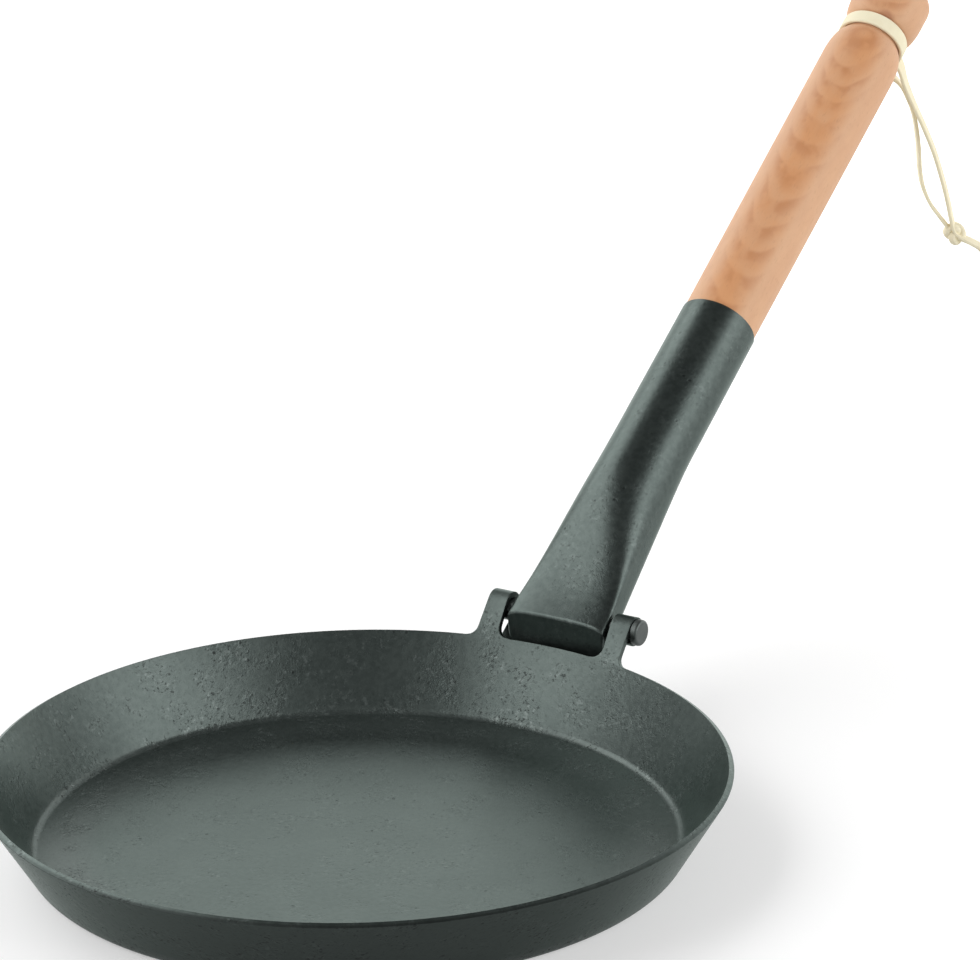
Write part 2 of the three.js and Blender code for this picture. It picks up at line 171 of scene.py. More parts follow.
class Shade:
    """A shader socket in an expression: arithmetic on it adds Math nodes."""

    def __init__(self, tree, socket=None):
        self.tree = tree
        self.socket = socket

    def node(self, kind, settings, sockets, output=0):
        """Any node: its settings are set first, then the values or links of its sockets."""
        made = self.tree.nodes.new(kind)
        for name, value in settings.items():
            setattr(made, name, value)
        for name, value in sockets.items():
            if isinstance(value, Shade):
                self.tree.links.new(value.socket, made.inputs[name])
            else:
                made.inputs[name].default_value = value
        return Shade(self.tree, made.outputs[output])

    def math(self, operation, *values):
        return self.node("ShaderNodeMath", {"operation": operation}, dict(enumerate(values)))

    def vector(self, operation, *values, output="Vector"):
        return self.node("ShaderNodeVectorMath", {"operation": operation}, dict(enumerate(values)), output)

    def __add__(self, other):
        return self.math("ADD", self, other)

    def __sub__(self, other):
        return self.math("SUBTRACT", self, other)

    def __rsub__(self, other):
        return self.math("SUBTRACT", other, self)

    def __mul__(self, other):
        return self.math("MULTIPLY", self, other)

    def __truediv__(self, other):
        return self.math("DIVIDE", self, other)

    def __pow__(self, other):
        return self.math("POWER", self, other)

    __radd__ = __add__
    __rmul__ = __mul__

    def coordinates(self):
        """The three coordinates of a place."""
        return [self.node("ShaderNodeSeparateXYZ", {}, {0: self}, axis) for axis in "XYZ"]

    def step(self, low, high):
        """0 below low, 1 above high and a smooth rise between."""
        settings = {"interpolation_type": "SMOOTHSTEP"}
        return self.node("ShaderNodeMapRange", settings, {"Value": self, "From Min": low, "From Max": high})

    def mix(self, first, second):
        """A colour between two, by this value."""
        return self.node("ShaderNodeMix", {"data_type": "RGBA"}, {0: self, 6: first, 7: second}, 2)

    def noise(self, size, detail, stretch=(1, 1, 1)):
        """Noise whose features have a size in millimetres, stretched along the axes."""
        scaled = self.vector("DIVIDE", self, stretch)
        sockets = {"Vector": scaled, "Scale": 1 / (size * MM), "Detail": detail}
        return self.node("ShaderNodeTexNoise", {}, sockets)

    def spots(self, size, radius, share):
        """Soft round spots, in a share of cells of a size in millimetres; radius is in cells."""
        cells = {"Vector": self, "Scale": 1 / (size * MM)}
        distance = self.node("ShaderNodeTexVoronoi", {}, cells, "Distance")
        tint = self.node("ShaderNodeTexVoronoi", {}, cells, "Color")
        chance = self.node("ShaderNodeSeparateColor", {}, {"Color": tint})
        return (1 - distance.step(radius / 3, radius)) * chance.math("LESS_THAN", chance, share)

    def bump(self, distance, strength):
        """A normal from a height; the height's unit is a distance in millimetres."""
        sockets = {"Height": self, "Distance": distance * MM, "Strength": strength}
        return self.node("ShaderNodeBump", {}, sockets)


def new_finish(name, **constants):
    """A material, its object coordinates, and a function that links values to its surface."""
    material = bpy.data.materials.new(name)
    material.use_nodes = True
    tree = material.node_tree
    surface = tree.nodes["Principled BSDF"]
    for socket, value in constants.items():
        surface.inputs[socket.replace("_", " ")].default_value = value
    place = Shade(tree).node("ShaderNodeTexCoord", {}, {}, "Object")

    def set_surface(socket, value):
        tree.links.new(value.socket, surface.inputs[socket])

    return material, place, set_surface


def grey(level):
    """A grey as a colour."""
    return level, level, level, 1


# Steel finishes

STEEL_DARK = (0.055, 0.068, 0.064, 1)
STEEL_LIGHT = (0.082, 0.099, 0.093, 1)
STEEL_FLECK = (0.14, 0.162, 0.155, 1)
STEEL_SOOT_AND_SHADE = (0.017, 0.02, 0.019, 1)
STEEL_GLOSS = (0.82, 0.9, 0.865, 1)
PIN_DARK = (0.062, 0.073, 0.07, 1)
PIN_LIGHT = (0.11, 0.122, 0.118, 1)

RUBBED_RADIUS = 70  # floor's middle, rubbed smooth
DULL_RADIUS = 80  # where the floor's dull edge begins
FOOT_RADIUS = 95  # where the floor's edge is at its dullest, near the wall's foot
FOOT_LOW = 2.5  # heights between which the dull edge ends on the wall
FOOT_HIGH = 5
SHADE_HEADING = Vector((0.53, -0.85))  # the side with painted shade on the outside: front-right, towards the camera
SHADE_START = 0.3 * RIM_RADIUS
SHADE_FULL = 0.9 * RIM_RADIUS
SOOT_AND_SHADE_BLEND = 0.6  # from the sheet's middle to the full strength of the sooty outside and its painted shade


def pan_wear(place):
    """The pan's skin: how rough it is, its dull band at the floor's edge, and how dark its outside is: a
    little sooty all round, with painted shade on the side towards the camera.
    """
    x, y, z = place.coordinates()
    reach = (x * x + y * y) ** 0.5
    middle = wall_radius(0, False) - PAN_SHEET / 2 / math.cos(WALL_FLARE)
    from_axis = reach - math.tan(WALL_FLARE) * z
    outside = from_axis.step((middle - SOOT_AND_SHADE_BLEND) * MM, (middle + SOOT_AND_SHADE_BLEND) * MM)
    # painted shade: the outside is much darker on the side towards the camera than elsewhere
    shaded_side = (SHADE_HEADING.x * x + SHADE_HEADING.y * y).step(SHADE_START * MM, SHADE_FULL * MM)
    wall = z.step(FOOT_LOW * MM, FOOT_HIGH * MM)
    floor_edge = reach.step(DULL_RADIUS * MM, FOOT_RADIUS * MM) * (1 - wall)
    skin = 0.6 + 0.4 * reach.step(RUBBED_RADIUS * MM, FOOT_RADIUS * MM) + 0.9 * floor_edge
    return skin, floor_edge, outside * (0.2 + 0.8 * shaded_side)


def socket_wear(place):
    """The socket's skin: smoother than the pan's wall, with no dull band, not sooty and with no painted
    shade.
    """
    return 0.6, 0, 0


def seasoned_steel(name, wear):
    """Dark carbon steel under a thin oxide skin: clouded, mottled and finely pitted."""
    material, place, set_surface = new_finish(name, Specular_Tint=STEEL_GLOSS)
    clouds = place.noise(24, 3).step(0.35, 0.65)
    patches = place.noise(11, 3).step(0.42, 0.62)
    mottle = place.noise(2.1, 3)
    grain = place.noise(0.55, 2)
    specks = place.spots(4, 0.18, 0.6) * (0.3 + 0.7 * patches)
    skin, dull, soot_and_shade = wear(place)
    relief = (0.25 + 0.9 * patches) * skin
    flecks = place.noise(1.8, 2).step(0.56, 0.7) * patches * skin
    pits = place.noise(1, 2).step(0.56, 0.72) * relief
    tone = 0.25 * clouds + 0.55 * mottle.step(0.3, 0.7) + 0.2 * grain
    flecked = (flecks * 0.5).mix(tone.mix(STEEL_DARK, STEEL_LIGHT), STEEL_FLECK)
    # pits, specks and the outside's soot with its painted shade darken the colour
    set_surface("Base Color", (pits * 0.45 + specks * 0.6 + soot_and_shade * 0.72).mix(flecked, STEEL_SOOT_AND_SHADE))
    set_surface("Roughness", 0.27 + 0.12 * mottle + 0.15 * pits + soot_and_shade * 0.12)
    set_surface("Metallic", 0.88 - 0.2 * pits - 0.28 * dull)
    height = ((mottle - 0.5) * 1.1 + (grain - 0.5) * 0.45) * relief - pits * 0.35 - specks * 0.5
    set_surface("Normal", height.bump(0.17, 0.62))
    return material


def plain_steel():
    """Plain drawn steel of pin and screw, with fine turning marks."""
    material, place, set_surface = new_finish("plain_steel")
    turning = place.noise(0.5, 2, (8, 1, 1))
    mottle = place.noise(3, 3)
    set_surface("Base Color", mottle.mix(PIN_DARK, PIN_LIGHT))
    set_surface("Roughness", 0.3 + 0.25 * mottle)
    set_surface("Metallic", 0.92 - 0.1 * mottle)
    set_surface("Normal", (turning + mottle).bump(0.05, 0.4))
    return material


# Beech finish

BEECH_PALE = (0.66, 0.382, 0.225, 1)
BEECH_BRIGHT = (0.69, 0.408, 0.24, 1)
BEECH_WARM = (0.66, 0.32, 0.147, 1)
BEECH_RING = (0.48, 0.195, 0.08, 1)
BEECH_CREASE_SHADE = (0.31, 0.095, 0.045, 1)
BEECH_FLECK = (0.31, 0.15, 0.07, 1)

RING_WIDTH = 2.3  # one growth ring
RING_WAVER = 7
HEART_DEPTH = 16  # grip's axis down to the tree's heart, at the socket's mouth
HEART_SIDE = math.radians(20)  # lean of the heart's side from upright
HEART_SLOPE = 0.19  # how much deeper the heart lies, per length along the grip
CREASE_SHADE_PLACE = (7.1, 273, 9.2)  # painted shade in the crease between the knob and the thong's band, in the grip's own frame
CREASE_SHADE_SHAPE = (1, 2, 1)  # the painted shade is half as long as it is wide
CREASE_SHADE_CORE = 0.5
CREASE_SHADE_RADIUS = 4
CREASE_SHADE_WAVER = 2


def oiled_beech():
    """Beech turned from a stave that leans across its growth rings, with soft arches along one side."""
    material, place, set_surface = new_finish("oiled_beech", Specular_IOR_Level=0.3)
    x, along, z = place.coordinates()
    waver = place.noise(34, 2, (1, 1.5, 1)) - 0.5
    depth = HEART_DEPTH * MM + HEART_SLOPE * (along - SOCKET_LENGTH * MM)
    across = x + math.sin(HEART_SIDE) * depth
    down = z + math.cos(HEART_SIDE) * depth
    rings = ((across * across + down * down) ** 0.5 + waver * (RING_WAVER * MM)) / (RING_WIDTH * MM)
    ring = rings.math("FRACT", rings)
    late = ring.step(0.1, 0.75) * (1 - ring.step(0.8, 1))
    side = x * math.sin(HEART_SIDE) + z * math.cos(HEART_SIDE)
    face = side.step(0.7 * GRIP_RADIUS * MM, 0.98 * GRIP_RADIUS * MM)
    fibre = place.noise(0.5, 3, (1, 14, 1))
    flecks = place.noise(0.42, 2, (1, 6, 1)).step(0.6, 0.72)
    blotch = place.noise(9, 3, (1, 1.7, 1)).step(0.36, 0.64)
    broken = place.noise(7, 2, (1, 1.4, 1)).step(0.4, 0.6)
    # painted shade: a darker patch in the crease where the knob rises beside the thong's band
    from_crease_shade = place.vector("SUBTRACT", place, Vector(CREASE_SHADE_PLACE) * MM)
    shaped = from_crease_shade.vector("MULTIPLY", from_crease_shade, CREASE_SHADE_SHAPE)
    reach = shaped.vector("LENGTH", shaped, output="Value") + (blotch - 0.5) * (CREASE_SHADE_WAVER * MM)
    crease_shade = (1 - reach.step(CREASE_SHADE_CORE * MM, CREASE_SHADE_RADIUS * MM)) * 0.48
    warm = (face * (0.45 + 0.5 * blotch)).mix(blotch.mix(BEECH_PALE, BEECH_BRIGHT), BEECH_WARM)
    ringed = (late * (0.04 + face * (0.1 + 0.45 * broken))).mix(warm, BEECH_RING)
    crease_shaded = crease_shade.mix(ringed, BEECH_CREASE_SHADE)
    set_surface("Base Color", (flecks * 0.16 + fibre * 0.08).mix(crease_shaded, BEECH_FLECK))
    set_surface("Roughness", 0.5 + 0.14 * fibre - 0.06 * late)
    set_surface("Normal", (fibre * 0.5 - flecks * 0.8).bump(0.08, 0.35))
    return material


# Leather finish

LEATHER_SHADED = (0.82, 0.735, 0.5, 1)
LEATHER_PALE = (0.9, 0.845, 0.65, 1)


def pale_leather():
    """Undyed leather lace: a fine fibrous face, a little darker in its hollows."""
    material, place, set_surface = new_finish("pale_leather")
    fibre = place.noise(0.45, 4)
    patch = place.noise(5, 3)
    set_surface("Base Color", (0.6 * patch + 0.4 * fibre).mix(LEATHER_SHADED, LEATHER_PALE))
    set_surface("Roughness", 0.68 + 0.2 * fibre)
    set_surface("Normal", (fibre + patch * 0.4).bump(0.12, 0.45))
    return material


# Mesh helpers


def arc(x, y, radius, start, end, steps):
    """Points (x, y) of an arc about a centre, both its ends included."""
    angles = [start + (end - start) * i / steps for i in range(steps + 1)]
    return [(x + radius * math.cos(a), y + radius * math.sin(a)) for a in angles]


def quarter(x, y, half_width, half_height, start, steps):
    """Points (x, y) of a quarter of an ellipse about a centre."""
    angles = [start + math.pi / 2 * i / steps for i in range(steps + 1)]
    return [(x + half_width * math.cos(a), y + half_height * math.sin(a)) for a in angles]


def even_angles(sides):
    """Angles spread evenly round a full turn."""
    return [2 * math.pi * i / sides for i in range(sides)]


def lerp(first, second, share):
    return first + (second - first) * share


def smooth_share(value, low, high):
    """0 at low, 1 at high and a smooth rise between."""
    share = min(max((value - low) / (high - low), 0), 1)
    return share * share * (3 - 2 * share)


def loft(rings, capped=True):
    """Points and faces of a tube through rings of equal count."""
    count = len(rings[0])
    points = [point for ring in rings for point in ring]
    faces = []
    for start in range(0, len(points) - count, count):
        for i in range(count):
            after = (i + 1) % count
            faces.append((start + i, start + after, start + count + after, start + count + i))
    if capped:
        faces.append(tuple(reversed(range(count))))
        faces.append(tuple(range(len(points) - count, len(points))))
    return points, faces


def turned(profile, sides):
    """Points and faces of a piece turned about +Y from its (radius, along) profile, closed at both ends."""
    angles = even_angles(sides)
    rings = []
    for radius, along in profile[1:-1]:
        rings.append([(radius * math.sin(a), along, radius * math.cos(a)) for a in angles])
    points, faces = loft(rings, capped=False)
    first, last = len(points), len(points) + 1
    points += [(0, profile[0][1], 0), (0, profile[-1][1], 0)]
    for i in range(sides):
        after = (i + 1) % sides
        faces.append((first, after, i))
        faces.append((last, first - sides + i, first - sides + after))
    return points, faces


def new_mesh(name, shape, place=Matrix()):
    """An object from points and faces, with its faces pointing out, at a place; both in millimetres."""
    points, faces = shape
    data = bpy.data.meshes.new(name)
    data.from_pydata([Vector(point) * MM for point in points], [], faces)
    work = bmesh.new()
    work.from_mesh(data)
    bmesh.ops.recalc_face_normals(work, faces=work.faces)
    work.to_mesh(data)
    work.free()
    piece = bpy.data.objects.new(name, data)
    piece.matrix_world = Matrix.Translation(place.translation * MM) @ place.to_3x3().to_4x4()
    bpy.context.scene.collection.objects.link(piece)
    return piece


def settle(piece):
    """Makes a piece's modifiers part of its mesh."""
    bpy.context.view_layer.update()
    graph = bpy.context.evaluated_depsgraph_get()
    data = bpy.data.meshes.new_from_object(piece.evaluated_get(graph))
    piece.modifiers.clear()
    piece.data = data


def combine(piece, tool, operation):
    """Joins another closed piece to a piece or cuts it away, and removes the tool."""
    modifier = piece.modifiers.new(operation.lower(), "BOOLEAN")
    modifier.operation = operation
    modifier.solver = "EXACT"
    modifier.object = tool
    settle(piece)
    bpy.data.objects.remove(tool)


def soften(piece, width, segments=3, angle=math.radians(32)):
    """Rounds a piece's edges by a width in millimetres and shades it smooth."""
    bevel = piece.modifiers.new("soften", "BEVEL")
    bevel.width = width * MM
    bevel.segments = segments
    bevel.limit_method = "ANGLE"
    bevel.angle_limit = angle
    bevel.harden_normals = False
    settle(piece)
    piece.data.shade_smooth()
    piece.modifiers.new("even_normals", "WEIGHTED_NORMAL").keep_sharp = True


def dress(piece, material, slot, body, *nodes):
    """Gives a piece its finish, puts it under its body, and hides the model nodes that it stands for."""
    piece.data.materials.clear()
    piece.data.materials.append(material)
    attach(piece, body)
    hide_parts(*nodes)
    return piece


# Thong: routes from below the neck to the tails' ends, and the ways that the lace's width faces

STRAND_RIGHT = [
    (10.4, -3, -11.4), (13.2, -1.4, -18.2), (18.1, 0, -28), (21.7, 0.6, -35), (26.5, 1, -45.6),
    (30.6, 1.2, -57.6), (33.3, 1.5, -67), (34.9, 1.9, -73.2), (36.9, 2.2, -78.4), (40.4, 1.3, -81.2),
    (43.5, 1.2, -82.9), (46.9, 1.1, -85.2), (50, 1, -88.6), (52.4, 0.9, -93), (54, 0.8, -98),
    (54.9, 0.7, -103), (55.2, 0.6, -106.5),
]
STRAND_LEFT = [
    (3.6, 9.2, -11.5), (8.6, 7.9, -15), (13.8, 6.3, -18.8), (17.4, 5.6, -25.4), (20.2, 5.3, -32.8),
    (21.9, 5.1, -43.4), (22.6, 5, -52.3), (23.9, 4.9, -59.3), (26.8, 4.7, -66.2), (30.4, 4.4, -71.4),
    (33.4, 4.1, -75.3), (36.7, 4, -79.4), (41, 4.7, -82), (44.8, 4.8, -84), (48.4, 4.9, -86.4),
    (51.4, 5, -90), (53.6, 5.1, -94.6), (54.9, 5.2, -99.6), (55.5, 5.3, -104.6), (55.7, 5.4, -108.6),
]
SLANTED = Vector((-0.35, 0.93, 0))
EDGE_ON = Vector((-0.585, 0.811, 0))
STRAND_LEAD = 1.6  # straight start of a strand past the band

KNOT_MIDDLE = Vector((36.8, 3, -79.1))
KNOT_LEAN = math.radians(-35)  # knot's turn in the plane in which the thong hangs
KNOT_RADIUS = 1.85
KNOT_LOBE = 0.8  # how far the knot's three lobes swing in and out
KNOT_DEPTH = 1.15
KNOT_STRETCH = 1.32  # knot's height over its width
KNOT_LACE_WIDE = 1.9
KNOT_LACE_HIGH = 1.5


def smooth_path(points, steps):
    """Points along a smooth curve through points, with a number of steps between each two."""
    ends = [2 * points[0] - points[1], *points, 2 * points[-1] - points[-2]]
    path = []
    for a, b, c, d in zip(ends, ends[1:], ends[2:], ends[3:]):
        for i in range(steps):
            t = i / steps
            square = (2 * a - 5 * b + 4 * c - d) * (t * t / 2)
            cube = (3 * b - a - 3 * c + d) * (t**3 / 2)
            path.append(b + (c - a) * (t / 2) + square + cube)
    return path + [points[-1]]


def path_length(path):
    return sum((b - a).length for a, b in zip(path, path[1:]))


def lace_section():
    """Outline of the flat lace, as (across, through) pairs: rounded edges and slightly crowned faces."""
    flat = LACE_WIDTH / 2 - LACE_EDGE
    high = LACE_THICKNESS / 2 - LACE_EDGE
    outline = []
    for turn, (x, y) in enumerate(((flat, high), (-flat, high), (-flat, -high), (flat, -high))):
        start = turn * math.pi / 2
        outline += arc(x, y, LACE_EDGE, start, start + math.pi / 2, 4)
        if turn % 2 == 0:
            outline.append((0, math.copysign(LACE_CROWN, y)))
        else:
            outline.append((math.copysign(LACE_WIDTH / 2, x), 0))
    return outline


def lace_along(path, acrosses):
    """Points and faces of the flat lace along a path; acrosses are its width's directions at even shares."""
    section = lace_section()
    rings = []
    for i, point in enumerate(path):
        forward = (path[min(i + 1, len(path) - 1)] - path[max(i - 1, 0)]).normalized()
        share = i / (len(path) - 1) * (len(acrosses) - 1)
        first = min(int(share), len(acrosses) - 2)
        across = acrosses[first].lerp(acrosses[first + 1], smooth_share(share, first, first + 1))
        across = (across - forward * across.dot(forward)).normalized()
        through = forward.cross(across)
        rings.append([point + across * a + through * t for a, t in section])
    return loft(rings)


def past_band(angle, turn, distance):
    """The lace's middle at a distance past one end of the band, in the model's frame."""
    middle = NECK_RADIUS + CLEARANCE + LACE_THICKNESS / 2
    x = middle * math.cos(angle) - turn * distance * math.sin(angle)
    z = middle * math.sin(angle) + turn * distance * math.cos(angle)
    return HANDLE_PLACE @ Vector((x, NECK_MIDDLE, HANDLE_RISE + z))


def thong_strand(name, route, angle, turn, acrosses, leather, nodes):
    """One side of the thong: from the neck down through the knot to the cut end of its tail."""
    start = [past_band(angle, turn, distance) for distance in (0, STRAND_LEAD)]
    path = smooth_path(start + [THONG_PLACE @ Vector(point) for point in route], 6)
    strand = new_mesh(name, lace_along(path, acrosses))
    strand.data.shade_smooth()
    dress(strand, leather, "lace", "handle", *nodes)
    path[0] * MM
    path_length(path) * MM
    [point * MM for point in path]


def thong_band(leather):
    """The lace over the grip's neck."""
    steps = 60
    angles = [lerp(*BAND_ENDS, i / steps) for i in range(steps + 1)]
    path = [past_band(angle, 1, 0) for angle in angles]
    band = new_mesh("thong_band_lace", lace_along(path, [HANDLE_AXIS, HANDLE_AXIS]))
    band.data.shade_smooth()
    return dress(band, leather, "lace", "handle", "thong_band")


def thong_knot(leather):
    """An overhand knot, drawn tight, of both strands."""
    steps, sides = 120, 14
    path = []
    for t in even_angles(steps):
        loop = KNOT_RADIUS + KNOT_LOBE * math.cos(3 * t)
        deep = KNOT_DEPTH * math.sin(3 * t)
        path.append(Vector((loop * math.cos(2 * t), deep, KNOT_STRETCH * loop * math.sin(2 * t))))
    section = [(KNOT_LACE_WIDE * math.cos(a), KNOT_LACE_HIGH * math.sin(a)) for a in even_angles(sides)]
    rings = []
    for i, point in enumerate(path):
        forward = (path[(i + 1) % steps] - path[i - 1]).normalized()
        across = (Vector((0, 1, 0)) - forward * forward.y).normalized()
        through = forward.cross(across)
        rings.append([point + across * a + through * b for a, b in section])
    points, faces = loft([*rings, rings[0]], capped=False)
    count = steps * sides
    closed = [tuple(corner % count for corner in face) for face in faces]
    place = THONG_PLACE @ Matrix.Translation(KNOT_MIDDLE) @ Matrix.Rotation(KNOT_LEAN, 4, "Y")
    knot = new_mesh("thong_knot_lace", (points[:count], closed), place)
    knot.data.shade_smooth()
    return dress(knot, leather, "lace", "handle", "thong_knot")


def thong(leather):
    """The whole thong, hung from the grip's neck."""
    thong_band(leather)
    knot = thong_knot(leather)
    thong_strand(
        "thong_right", STRAND_RIGHT, BAND_ENDS[0], -1, [HANDLE_AXIS, SLANTED, SLANTED, SLANTED, SLANTED],
        leather, ["thong_strand_right", "thong_tail_right"],
    )
    thong_strand(
        "thong_left", STRAND_LEFT, BAND_ENDS[1], 1, [HANDLE_AXIS, EDGE_ON, EDGE_ON, SLANTED, SLANTED],
        leather, ["thong_strand_left", "thong_tail_left"],
    )


# Pan

FLOOR_RINGS = (0.1, 0.3, 0.5, 0.7, 0.85, 0.95)  # shares of the floor's radius
EAR_LEVELS = (0.02, 0.05, 0.09, 0.14, 0.2, 0.27, 0.36, 0.5, 0.7)  # shares of an ear's straight height


def wall_radius(height, inside):
    """Radius of the wall's outer face, or of its inner face, at a height."""
    outer = RIM_RADIUS - (RIM_OUTER - height) * math.tan(WALL_FLARE)
    return outer - PAN_SHEET / math.cos(WALL_FLARE) if inside else outer


def rim_height(inside):
    """Height of the rim's inner or outer edge; the rim is square to the sheet."""
    return PAN_HEIGHT if inside else RIM_OUTER


def dish_profile(inside):
    """The dish's inner or outer face from near its middle to the rim, as (radius, height) pairs."""
    wall_steps = 8
    fillet = FLOOR_FILLET + PAN_SHEET
    corner = wall_radius(0, False) - fillet * math.tan((math.pi / 2 - WALL_FLARE) / 2)
    floor = [(corner * share, PAN_SHEET if inside else 0) for share in FLOOR_RINGS]
    bend = arc(corner, fillet, FLOOR_FILLET if inside else fillet, -math.pi / 2, -WALL_FLARE, 10)
    top = bend[-1][1]
    wall = [lerp(top, rim_height(inside), i / wall_steps) for i in range(1, wall_steps + 1)]
    return floor + bend + [(wall_radius(height, inside), height) for height in wall]


def fillet_reach(radius, height):
    """How far a fillet reaches past its side, at a height above the rim."""
    left = min(max(radius - height, 0), radius)
    return radius - math.sqrt(radius**2 - left**2)


def ear_across(share, height):
    """Distance from the middle of the pan, at a share of an ear's width and a height above the rim."""
    inner = NOTCH_HALF - fillet_reach(NOTCH_FILLET, height)
    outer = EAR_OUTER + fillet_reach(EAR_FILLET, height)
    return lerp(inner, outer, share)


def ear_face(side, share, inside):
    """One face of an ear's sheet above the rim, at a share of its width: up and round the pin."""
    radius = ROLL_RADIUS if inside else BORE_RADIUS
    rim = rim_height(inside)
    points = []
    for part in EAR_LEVELS:
        across = ear_across(share, part * (PIN.z + radius - rim))
        foot = Vector((math.sqrt(wall_radius(rim, inside) ** 2 - across**2), rim))
        to_pin = Vector((PIN.y, PIN.z)) - foot
        touch = math.atan2(to_pin.y, to_pin.x) + math.asin(radius / to_pin.length) + math.pi / 2
        y = lerp(foot.x, PIN.y + radius * math.cos(touch), part)
        z = lerp(foot.y, PIN.z + radius * math.sin(touch), part)
        points.append((side * across, y, z))
    across = side * ear_across(share, PIN.z)
    return points + [(across, y, z) for y, z in arc(PIN.y, PIN.z, radius, touch, ROLL_END, 28)]


def pan_columns():
    """The sheet's columns round the pan: distance across or else angle at the rim, ear's side and share."""
    ear_steps, notch_steps, round_steps = 14, 12, 150
    foot = ear_across(0, 0)
    columns = []
    for side in (1, -1):
        shares = [i / ear_steps for i in range(ear_steps + 1)]
        ear = [(side * ear_across(share, 0), None, side, share) for share in shares]
        columns += ear[::-1] if side > 0 else ear
        if side > 0:
            notch = [lerp(foot, -foot, i / notch_steps) for i in range(1, notch_steps)]
            columns += [(across, None, 0, 0) for across in notch]
    start = math.pi - math.acos(ear_across(1, 0) / RIM_RADIUS)
    sweep = 2 * math.pi - 2 * (start - math.pi / 2)
    columns += [(None, start + sweep * i / round_steps, 0, 0) for i in range(1, round_steps)]
    return columns


def pan_face(columns, inside):
    """Points of the pan's inner or outer face, column by column, with the middle first."""
    profile = dish_profile(inside)
    rim = wall_radius(rim_height(inside), inside)
    points = [(0, 0, profile[0][1])]
    for across, angle, side, share in columns:
        if angle is None:
            x, y = across / rim, math.sqrt(1 - (across / rim) ** 2)
        else:
            x, y = math.cos(angle), math.sin(angle)
        points += [(radius * x, radius * y, height) for radius, height in profile]
        if side:
            points += ear_face(side, share, inside)
    return points


def pan_sheet():
    """Points and faces of the pan as one bent sheet of even thickness."""
    columns = pan_columns()
    dish_rows = len(dish_profile(True))
    ear_rows = len(ear_face(1, 0, True))
    starts = [1]
    for column in columns:
        starts.append(starts[-1] + dish_rows + (ear_rows if column[2] else 0))
    faces = []
    for i, column in enumerate(columns):
        after = (i + 1) % len(columns)
        both_ears = column[2] and column[2] == columns[after][2]
        a, b = starts[i], starts[after]
        faces.append((0, a, b))
        for row in range(dish_rows - 1 + (ear_rows if both_ears else 0)):
            faces.append((a + row, a + row + 1, b + row + 1, b + row))
    inner, outer = pan_face(columns, True), pan_face(columns, False)
    count = len(inner)
    # an edge of one face only is on the sheet's outline, and gets a side between the two faces
    edges = {}
    for face in faces:
        for a, b in zip(face, face[1:] + face[:1]):
            edges[frozenset((a, b))] = None if frozenset((a, b)) in edges else (a, b)
    sides = [(b, a, a + count, b + count) for a, b in filter(None, edges.values())]
    return inner + outer, faces + [tuple(count + i for i in reversed(face)) for face in faces] + sides


def pan_body(steel):
    """The dish with its two rolled ears."""
    pan = new_mesh("pan", pan_sheet())
    soften(pan, 0.8, segments=4)
    return dress(pan, steel, "dark_steel", "pan", "pan_body")


def hinge_pin(steel):
    """The pin, with a head at its right end and its left end peened over the ear's roll."""
    half = EAR_OUTER + CLEARANCE / 2
    end = EAR_OUTER + PIN_PROUD
    flat = PIN_HEAD_RADIUS - PIN_HEAD_ROUND
    edge = quarter(flat, end - PIN_HEAD_ROUND, PIN_HEAD_ROUND, PIN_HEAD_ROUND, 0, 6)
    head = [(PIN_RADIUS, half), (PIN_HEAD_RADIUS, half), *edge, (flat / 2, end), (0, end)]
    peen = [*quarter(0, -half, PEEN_RADIUS, PEEN_HEIGHT, -math.pi / 2, 6), (PIN_RADIUS, -half)]
    place = Matrix.Translation(PIN) @ Matrix.Rotation(-math.pi / 2, 4, "Z")
    pin = new_mesh("pin", turned(peen + head, 48), place)
    soften(pin, 0.15, segments=2)
    return dress(pin, steel, "bare_steel", "pan", "hinge_pin")


# Handle


def socket_radius(along):
    """Outside radius of the socket's round part."""
    return lerp(WAIST_RADIUS, MOUTH_RADIUS, smooth_share(along, ROUND_START, SOCKET_LENGTH))


def socket_section(along, inset):
    """One section of the socket, drawn in by an amount on all sides."""
    sides = 96
    risen = smooth_share(along, 0, FLAT_LENGTH)
    even = smooth_share(along, 0, ROUND_START)
    straight = min(along / ROUND_START, 1)
    radius = socket_radius(along)
    half = lerp(radius, NOSE_HALF, (1 - straight) ** 2) - inset
    top = lerp(NOSE_TOP, HANDLE_RISE + radius, risen) - inset
    bottom = lerp(STOP_BOTTOM, HANDLE_RISE - radius, straight) + inset
    ring = []
    for i in range(sides):
        angle = 2 * math.pi * (i + 0.5) / sides
        c, s = math.cos(angle), math.sin(angle)
        power = 2 / (lerp(TOP_SQUARENESS, 2, risen) if s > 0 else lerp(BOTTOM_SQUARENESS, 2, even))
        height = lerp(HANDLE_RISE, top if s > 0 else bottom, abs(s) ** power)
        ring.append((math.copysign(half * abs(c) ** power, c), along, height))
    return ring


def socket_sections(start, end, inset):
    """Sections of the socket's outside, or of its hollow, between two places along it."""
    steps = 48
    return [socket_section(lerp(start, end, i / steps), inset) for i in range(steps + 1)]


def nose_sections():
    """Sections of the nose, from its leaning front back over the front's rounded edges."""
    steps = 8
    lean = (NOSE_FOOT - NOSE_REACH) / (NOSE_TOP - STOP_TOP)
    sections = []
    for i in range(steps + 1):
        turn = math.pi / 2 * (1 - i / steps)
        back = NOSE_ROUND * (1 - math.sin(turn))
        section = socket_section(0, NOSE_ROUND * (1 - math.cos(turn)))
        sections.append([(x, back - NOSE_REACH - (NOSE_TOP - z) * lean, z) for x, _, z in section])
    return sections


